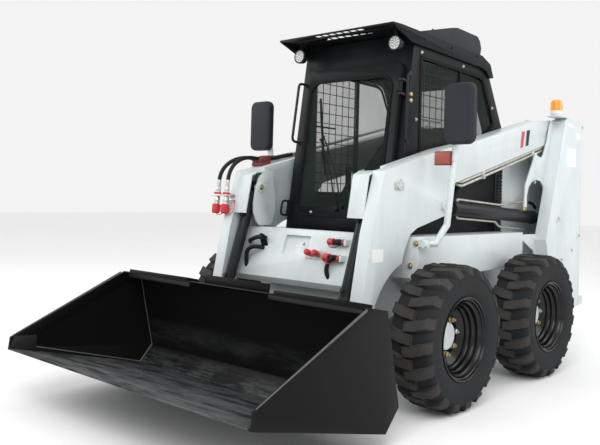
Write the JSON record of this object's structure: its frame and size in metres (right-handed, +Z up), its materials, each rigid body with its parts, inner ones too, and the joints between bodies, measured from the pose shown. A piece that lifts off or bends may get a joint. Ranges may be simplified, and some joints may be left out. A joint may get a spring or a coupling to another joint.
{
  "type": "skid steer loader",
  "caption": "Compact skid steer loader with lugged tyres, enclosed cab, twin lift arms with hydraulic cylinders and a wide rolled-back bucket.",
  "frame": {"origin": "on the ground under the centre of the whole machine, bucket included", "axes": "+Z up, -Y forward to the bucket, +X to the machine's left"},
  "size_m": [1.9, 3.705, 2.292],
  "materials": {
    "white_paint": "gloss",
    "black_paint": "satin",
    "bucket_paint": "satin, worn on the floor",
    "dark_steel": "satin",
    "cast_metal": "rough",
    "rim_paint": "gloss",
    "tyre_rubber": "matt",
    "tinted_glass": "clear, tinted",
    "dark_plastic": "matt",
    "black_plastic": "matt",
    "lamp_glass": "clear",
    "seat_cover": "matt",
    "red_lens": "gloss",
    "amber_lens": "gloss",
    "chrome_rod": "polished"
  },
  "bodies": {
    "chassis": {"main_frame": "white_paint", "axle_housings": "dark_steel", "left_tower": "white_paint", "right_tower": "white_paint", "engine_block": "cast_metal", "rear_hood": "black_paint", "cab_frame": "black_paint", "cab_windows": "tinted_glass", "window_guards": "black_paint", "cab_roof": "black_paint", "roof_unit": "dark_plastic", "work_lamps": "lamp_glass", "seat": "seat_cover", "control_levers": "black_plastic", "mirror_posts": "white_paint", "mirror_heads": "dark_plastic", "signal_lamps": "red_lens", "beacon": "amber_lens", "door_hinges": "black_paint", "gate_hinges": "black_paint"},
    "wheel_front_left": {"tyre_front_left": "tyre_rubber", "rim_front_left": "rim_paint"},
    "wheel_front_right": {"tyre_front_right": "tyre_rubber", "rim_front_right": "rim_paint"},
    "wheel_rear_left": {"tyre_rear_left": "tyre_rubber", "rim_rear_left": "rim_paint"},
    "wheel_rear_right": {"tyre_rear_right": "tyre_rubber", "rim_rear_right": "rim_paint"},
    "lift_arms": {"left_arm": "white_paint", "right_arm": "white_paint", "arm_cross_member": "white_paint"},
    "lift_barrel_left": {"lift_barrel_left": "black_paint"},
    "lift_rod_left": {"lift_rod_left": "chrome_rod"},
    "lift_barrel_right": {"lift_barrel_right": "black_paint"},
    "lift_rod_right": {"lift_rod_right": "chrome_rod"},
    "tilt_barrel_left": {"tilt_barrel_left": "black_paint"},
    "tilt_rod_left": {"tilt_rod_left": "chrome_rod"},
    "tilt_barrel_right": {"tilt_barrel_right": "black_paint"},
    "tilt_rod_right": {"tilt_rod_right": "chrome_rod"},
    "bucket": {"quick_attach": "black_paint", "bucket": "bucket_paint"},
    "front_door": {"front_door": "black_paint", "door_glass": "tinted_glass"},
    "tailgate": {"tailgate": "white_paint"}
  },
  "joints": [
    {"name": "front_left_wheel_spin", "type": "hinge", "parent": "chassis", "child": "wheel_front_left", "pos_m": [0.803, -0.3275, 0.3865], "axis": [1, 0, 0], "continuous": true},
    {"name": "front_right_wheel_spin", "type": "hinge", "parent": "chassis", "child": "wheel_front_right", "pos_m": [-0.803, -0.3275, 0.3865], "axis": [1, 0, 0], "continuous": true},
    {"name": "rear_left_wheel_spin", "type": "hinge", "parent": "chassis", "child": "wheel_rear_left", "pos_m": [0.803, 0.7225, 0.3865], "axis": [1, 0, 0], "continuous": true},
    {"name": "rear_right_wheel_spin", "type": "hinge", "parent": "chassis", "child": "wheel_rear_right", "pos_m": [-0.803, 0.7225, 0.3865], "axis": [1, 0, 0], "continuous": true},
    {"name": "arms_lift", "type": "hinge", "parent": "chassis", "child": "lift_arms", "pos_m": [0, 1.4725, 1.63], "axis": [-1, 0, 0], "range_deg": [0, 64]},
    {"name": "bucket_tilt", "type": "hinge", "parent": "lift_arms", "child": "bucket", "pos_m": [0, -0.7975, 0.215], "axis": [1, 0, 0], "range_deg": [-10, 112]},
    {"name": "lift_barrel_left_swing", "type": "hinge", "parent": "chassis", "child": "lift_barrel_left", "pos_m": [0, 1.3025, 1], "axis": [-1, 0, 0], "range_deg": [0, 57.71]},
    {"name": "lift_rod_left_slide", "type": "slide", "parent": "lift_barrel_left", "child": "lift_rod_left", "axis": [0, -0.9984, 0.0569], "range_m": [0, 0.6653]},
    {"name": "tilt_barrel_left_swing", "type": "hinge", "parent": "lift_arms", "child": "tilt_barrel_left", "pos_m": [0, -0.5895, 1.165], "axis": [1, 0, 0], "range_deg": [-2.88, 0.53]},
    {"name": "tilt_rod_left_slide", "type": "slide", "parent": "tilt_barrel_left", "child": "tilt_rod_left", "axis": [0, -0.3081, -0.9514], "range_m": [-0.0339, 0.3595]},
    {"name": "lift_barrel_right_swing", "type": "hinge", "parent": "chassis", "child": "lift_barrel_right", "pos_m": [0, 1.3025, 1], "axis": [-1, 0, 0], "range_deg": [0, 57.71]},
    {"name": "lift_rod_right_slide", "type": "slide", "parent": "lift_barrel_right", "child": "lift_rod_right", "axis": [0, -0.9984, 0.0569], "range_m": [0, 0.6653]},
    {"name": "tilt_barrel_right_swing", "type": "hinge", "parent": "lift_arms", "child": "tilt_barrel_right", "pos_m": [0, -0.5895, 1.165], "axis": [1, 0, 0], "range_deg": [-2.88, 0.53]},
    {"name": "tilt_rod_right_slide", "type": "slide", "parent": "tilt_barrel_right", "child": "tilt_rod_right", "axis": [0, -0.3081, -0.9514], "range_m": [-0.0339, 0.3595]},
    {"name": "front_door_swing", "type": "hinge", "parent": "chassis", "child": "front_door", "pos_m": [0.405, -0.30421, 1.42598], "axis": [0, 0.1392, 0.9903], "range_deg": [0, 80]},
    {"name": "tailgate_swing", "type": "hinge", "parent": "chassis", "child": "tailgate", "pos_m": [-0.455, 1.7645, 0.9], "axis": [0, 0, 1], "range_deg": [0, 100]}
  ],
  "couplings": [
    {"joint": "lift_barrel_left_swing", "follows": "arms_lift", "ratio": 0.89387},
    {"joint": "lift_rod_left_slide", "follows": "arms_lift", "m_per_rad": 0.59386},
    {"joint": "tilt_barrel_left_swing", "follows": "bucket_tilt", "ratio": -0.023006},
    {"joint": "tilt_rod_left_slide", "follows": "bucket_tilt", "m_per_rad": 0.18288},
    {"joint": "lift_barrel_right_swing", "follows": "arms_lift", "ratio": 0.89387},
    {"joint": "lift_rod_right_slide", "follows": "arms_lift", "m_per_rad": 0.59386},
    {"joint": "tilt_barrel_right_swing", "follows": "bucket_tilt", "ratio": -0.023006},
    {"joint": "tilt_rod_right_slide", "follows": "bucket_tilt", "m_per_rad": 0.18288}
  ]
}
